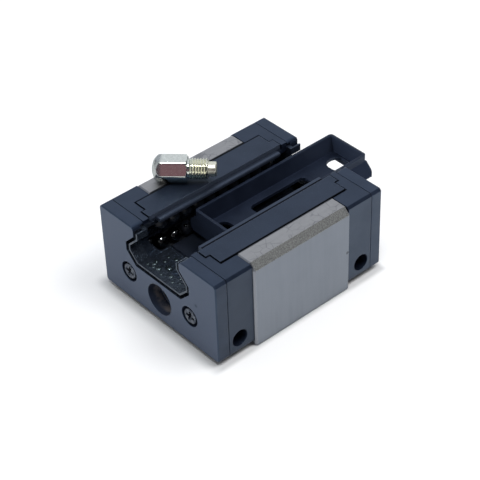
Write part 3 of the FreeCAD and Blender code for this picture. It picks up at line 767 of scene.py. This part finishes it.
def screw_head(head_face):
    """Low round head with a soft rim, along x, its flat top at head_face."""
    reach_at = {head_face - SCREW_HEAD_HEIGHT: SCREW_HEAD_RADIUS}
    for i in range(SCREW_RIM_STEPS + 1):
        angle = math.radians(90.0 * i / SCREW_RIM_STEPS)
        station = head_face - SCREW_RIM + SCREW_RIM * math.sin(angle)
        reach_at[station] = SCREW_HEAD_RADIUS - SCREW_RIM + SCREW_RIM * math.cos(angle)
    return rings(list(reach_at), SCREW_HEAD_SIDES, lambda station, angle: reach_at[station])


def cross_cutter(head_face):
    """Two tapered bars for the cross recess."""
    stations = (head_face + RECESS_CLEARANCE, head_face - RECESS_DEPTH)
    faces = [(0, 1, 2, 3), (4, 5, 6, 7), (0, 1, 5, 4), (1, 2, 6, 5), (2, 3, 7, 6), (3, 0, 4, 7)]
    parts = []
    for upright in (False, True):
        points = []
        for station, share in zip(stations, RECESS_SHARES):
            for a, b in ((-1, -1), (1, -1), (1, 1), (-1, 1)):
                wide = a * RECESS_LENGTH / 2 * share
                thin = b * RECESS_WIDTH / 2 * (1.0 - RECESS_THINNING + RECESS_THINNING * share)
                points.append((station, thin, wide) if upright else (station, wide, thin))
        parts.append((points, faces))
    return parts


def cut(points, faces, cutters):
    """The mesh less each of the cutters."""
    base = added("uncut", outward_mesh("uncut", points, faces))
    tools = [added("cutter", outward_mesh("cutter", *cutter)) for cutter in cutters]
    for tool in tools:
        step = base.modifiers.new("cut", "BOOLEAN")
        step.operation = "DIFFERENCE"
        step.solver = "EXACT"
        step.object = tool
    bpy.context.view_layer.update()
    done = bpy.data.meshes.new_from_object(base.evaluated_get(bpy.context.evaluated_depsgraph_get()))
    result = [tuple(v.co) for v in done.vertices], [tuple(p.vertices) for p in done.polygons]
    for made in [base] + tools:
        bpy.data.objects.remove(made)
    return result


def end_screws(material):
    """Two screws at each end: headed, cross recessed and threaded."""
    for end, sign in (("front", -1), ("rear", 1)):
        low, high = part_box(f"{end}_screws")
        head_face = -low.y if sign < 0 else high.y
        tip = -high.y if sign < 0 else low.y
        head = cut(*screw_head(head_face), cross_cutter(head_face))
        shank = screw_thread(tip, head_face - SCREW_HEAD_HEIGHT, SCREW_RADIUS, SCREW_THREAD_DEPTH, SCREW_PITCH,
                             around=28, steps_per_turn=8)
        one_points, one_faces = joined([head, shank])
        parts = []
        for side in (-1, 1):
            lean = math.radians(SCREW_LEAN_APART * side + SCREW_LEAN)
            placed = []
            for along, a, b in one_points:
                across = a * math.cos(lean) - b * math.sin(lean)
                upward = a * math.sin(lean) + b * math.cos(lean)
                placed.append((side * SCREW_REACH + across, sign * along, SCREW_HEIGHT + upward))
            parts.append((placed, one_faces))
        points, faces = joined(parts)
        piece(f"{end}_recessed_screws", points, faces, material, "block", 30.0, (f"{end}_screws",))


def hexagon_reach(angle):
    """Distance from the axis to the flats of the nipple's head; one flat looks down."""
    sector = math.pi / 3.0
    off = (angle + sector / 2.0) % sector - sector / 2.0
    return NIPPLE_FLAT / math.cos(sector / 2.0 - abs(off))


def nipple_head():
    """Six-sided head with a turned dome, a chamfer at the collar and blunt corners."""
    dome_base = NIPPLE_DOME_LENGTH - NIPPLE_HEAD_LENGTH
    blunt = NIPPLE_FLAT / math.cos(math.pi / 6.0) - NIPPLE_BLUNTING

    def head_reach(station, angle):
        turned = blunt
        if station < dome_base:
            part = (dome_base - station) / NIPPLE_DOME_LENGTH
            turned = blunt * math.sqrt(max(0.0, 1.0 - part * part))
        elif station > -NIPPLE_CHAMFER:
            turned = blunt - (station + NIPPLE_CHAMFER) * NIPPLE_CHAMFER_SLOPE
        flat = hexagon_reach(angle)
        blend = max(0.0, 1.0 - abs(flat - turned) / NIPPLE_EDGE_SOFTNESS)
        return min(turned, flat) - blend * blend * NIPPLE_EDGE_SOFTNESS / 4.0

    stations = []
    for i in range(NIPPLE_DOME_STEPS + 1):
        angle = math.radians(NIPPLE_DOME_TIP + (90.0 - NIPPLE_DOME_TIP) * i / NIPPLE_DOME_STEPS)
        stations.append(dome_base - NIPPLE_DOME_LENGTH * math.cos(angle))
    for i in range(NIPPLE_FLAT_STEPS):
        stations.append(dome_base + (-NIPPLE_CHAMFER - dome_base) * (i + 1) / NIPPLE_FLAT_STEPS)
    for i in range(NIPPLE_CHAMFER_STEPS):
        stations.append(-NIPPLE_CHAMFER + NIPPLE_CHAMFER * (i + 1) / NIPPLE_CHAMFER_STEPS)
    return rings(stations, NIPPLE_HEAD_SIDES, head_reach)


def nipple_nose():
    """Plain nose with a rounded end."""
    rounding_start = NIPPLE_THREAD_LENGTH + NIPPLE_NOSE_LENGTH - NIPPLE_NOSE_ROUNDING
    stations = [NIPPLE_THREAD_LENGTH, NIPPLE_THREAD_LENGTH + NIPPLE_NOSE_STEP]
    for i in range(NIPPLE_NOSE_STEPS + 1):
        angle = math.radians(90.0 * i / NIPPLE_NOSE_STEPS)
        stations.append(rounding_start + NIPPLE_NOSE_ROUNDING * math.sin(angle))

    def nose_reach(station, angle):
        over = max(0.0, station - rounding_start) / NIPPLE_NOSE_ROUNDING
        return NIPPLE_NOSE_RADIUS - NIPPLE_NOSE_ROUNDING * (1.0 - math.sqrt(max(0.0, 1.0 - over * over)))

    return rings(stations, NIPPLE_NOSE_SIDES, nose_reach)


def nipple(material):
    """Turned nipple with a six-sided head, a run-out neck, a real thread and a plain nose."""
    neck_radius = NIPPLE_THREAD_RADIUS - NIPPLE_NECK_DEPTH
    neck_stations = [0.0, NIPPLE_NECK_STEP, NIPPLE_NECK_LENGTH]
    neck = rings(neck_stations, NIPPLE_NECK_SIDES, lambda station, angle: neck_radius)
    thread = screw_thread(NIPPLE_NECK_LENGTH, NIPPLE_THREAD_LENGTH, NIPPLE_THREAD_RADIUS, NIPPLE_THREAD_DEPTH,
                          NIPPLE_PITCH, around=72, steps_per_turn=16)
    points, faces = joined([nipple_head(), neck, thread, nipple_nose()])
    shift = Matrix.Translation((*NIPPLE_COLLAR, CARRIAGE_HEIGHT + NIPPLE_FLAT))
    turn = shift @ Matrix.Rotation(NIPPLE_HEADING, 4, "Z")
    points = [turn @ Vector(p) for p in points]
    piece("threaded_nipple", points, faces, material, "block", 22.0, ("grease_nipple",))


def oil_drops(material):
    """Flat drops of oil on the lip and on the floor of the front cap's notch."""
    ball_points, ball_faces = unit_ball(DROP_LEVELS)
    parts = []
    for spots, base in ((DROPS_ON_LIP, LIP_FLOOR), (DROPS_ON_CAP, CAP_NOTCH_FLOOR)):
        for x, y, size in spots:
            centre = Vector((x * MM, y * MM, base))
            placed = []
            for p in ball_points:
                bulge = Vector((p[0] * size, p[1] * size * DROP_WIDTH, max(0.0, p[2]) * size * DROP_HEIGHT))
                placed.append(centre + bulge * MM)
            parts.append((placed, ball_faces))
    points, faces = joined(parts)
    piece("oil_drops", points, faces, material, "block", 60.0)


def dress_nodes(finishes):
    """Gives every solid its finish, by the record's slot."""
    slot_of = {entry["node"]: entry["material_slot"] for entry in frame["record"]["subparts"]}
    for name, node in nodes.items():
        node.data.materials.clear()
        node.data.materials.append(finishes[slot_of[name]])


def ground():
    """Pale floor, white for the camera and for reflections, dark in the block's shadow and in a painted contact shadow
    where its glow fades out under and around the block.
    """
    half = FLOOR_HALF_WIDTH
    corners = [(x, y, FLOOR_LEVEL) for x, y in ((-half, -half), (half, -half), (half, half), (-half, half))]
    mesh = bpy.data.meshes.new("floor")
    mesh.from_pydata(corners, [], [(0, 1, 2, 3)])
    floor = added("floor", mesh)
    finish = Finish("floor")
    tones = [(FLOOR_TONE + change,) * 3 for change in (-FLOOR_UNEVENNESS, FLOOR_UNEVENNESS)]
    finish.feed("Base Color", finish.mix(finish.noise(3.0), *tones))
    finish.constant(roughness=0.9, specular_ior_level=0.0)
    path = finish.tree.nodes.new("ShaderNodeLightPath").outputs
    seen = finish.math("MAXIMUM", path["Is Camera Ray"], path["Is Glossy Ray"])
    seen = finish.math("MAXIMUM", seen, path["Is Transmission Ray"])
    # Painted contact shadow: the glow fades out under the block and close to it
    at = finish.axes()
    across = finish.product(finish.span(at["X"], *FLOOR_DARK_RIGHT), finish.span(at["X"], *FLOOR_DARK_LEFT))
    along = finish.product(finish.span(at["Y"], *FLOOR_DARK_REAR), finish.span(at["Y"], *FLOOR_DARK_FRONT))
    painted_contact_shadow = finish.product(across, along)
    glow_outside_shadow = finish.span(painted_contact_shadow, 0.0, 1.0, to_low=FLOOR_GLOW, to_high=0.0, smooth=False)
    glow = finish.node("Emission", {"Color": (*WHITE, 1.0), "Strength": finish.product(seen, glow_outside_shadow)})
    both = finish.node("AddShader", {0: finish.shader.outputs[0], 1: glow.outputs[0]})
    finish.tree.links.new(both.outputs[0], finish.tree.nodes["Material Output"].inputs["Surface"])
    floor.data.materials.append(finish.material)


def studio():
    """Soft studio world, white for the camera."""
    world = bpy.data.worlds.new("studio")
    bpy.context.scene.world = world
    world.use_nodes = True
    sky = Nodes(world.node_tree)
    direction = sky.tree.nodes.new("ShaderNodeTexCoord").outputs["Generated"]
    colour = ROOM
    for light, toward, spread in ((WALL, WALL_TOWARD, WALL_SPREAD), (SOFTBOX, SOFTBOX_TOWARD, SOFTBOX_SPREAD),
                                  (ROSE, ROSE_TOWARD, ROSE_SPREAD), (OVERHEAD, OVERHEAD_TOWARD, OVERHEAD_SPREAD)):
        nearness = sky.vector("DOT_PRODUCT", direction, Vector(toward).normalized(), "Value")
        colour = sky.mix(sky.span(nearness, *spread), colour, light)
    path = sky.tree.nodes.new("ShaderNodeLightPath").outputs
    colour = sky.mix(path["Is Camera Ray"], colour, WHITE)
    background = sky.tree.nodes["Background"]
    sky.tree.links.new(colour, background.inputs["Color"])
    background.inputs["Strength"].default_value = 1.0


def key_lamp():
    """One large soft lamp to the right and back, left out of reflections."""
    light = bpy.data.lights.new("key", "AREA")
    light.shape = "SQUARE"
    light.size = KEY_SIZE
    light.energy = KEY_POWER
    lamp = added("key", light)
    lamp.location = KEY_PLACE
    lamp.visible_glossy = False
    aim = Vector(KEY_AIM) - Vector(KEY_PLACE)
    lamp.rotation_euler = aim.to_track_quat("-Z", "Y").to_euler()


def camera():
    """Camera at the photograph's place and angle."""
    azimuth = math.radians(CAMERA_AZIMUTH)
    elevation = math.radians(CAMERA_ELEVATION)
    roll = math.radians(CAMERA_ROLL)
    flat = math.cos(elevation)
    back = Vector((math.sin(azimuth) * flat, -math.cos(azimuth) * flat, math.sin(elevation)))
    level = Vector((math.cos(azimuth), math.sin(azimuth), 0.0))
    upright = back.cross(level)
    right = math.cos(roll) * level + math.sin(roll) * upright
    up = math.cos(roll) * upright - math.sin(roll) * level
    place = right * CAMERA_SHIFT[0] + up * CAMERA_SHIFT[1] + back * CAMERA_DISTANCE
    lens = bpy.data.cameras.new("camera")
    lens.sensor_width = SENSOR_WIDTH
    lens.lens = CAMERA_FOCAL_PIXELS / IMAGE_PIXELS * SENSOR_WIDTH
    lens.clip_start = CAMERA_CLIP_START
    eye = added("camera", lens)
    turn = Matrix((right, up, back)).transposed().to_4x4()
    eye.matrix_world = Matrix.Translation(place) @ turn
    bpy.context.scene.camera = eye


finishes = {
    "carriage_steel": steel_finish(),
    "cap_plastic": cap_finish(),
    "plate_plastic": plate_finish(),
    "strip_plastic": strip_finish(),
    "lip_rubber": rubber_finish(),
    "screw_steel": screw_finish(),
    "retainer_plastic": moulded("retainer_plastic", RETAINER_TONES, roughness=0.36).material,
    "guide_plastic": moulded("guide_plastic", GUIDE_TONES, roughness=0.45).material,
    "ball_steel": polished_finish(),
    "dummy_plastic": dummy_finish(),
    "nipple_plating": nickel_finish(),
}
dress_nodes(finishes)
smooth_balls(finishes["ball_steel"])
lower_lips(finishes["lip_rubber"])
end_screws(finishes["screw_steel"])
nipple(finishes["nipple_plating"])
oil_drops(oil_finish())
ground()
studio()
key_lamp()
camera()
bpy.context.scene.view_settings.view_transform = "Standard"
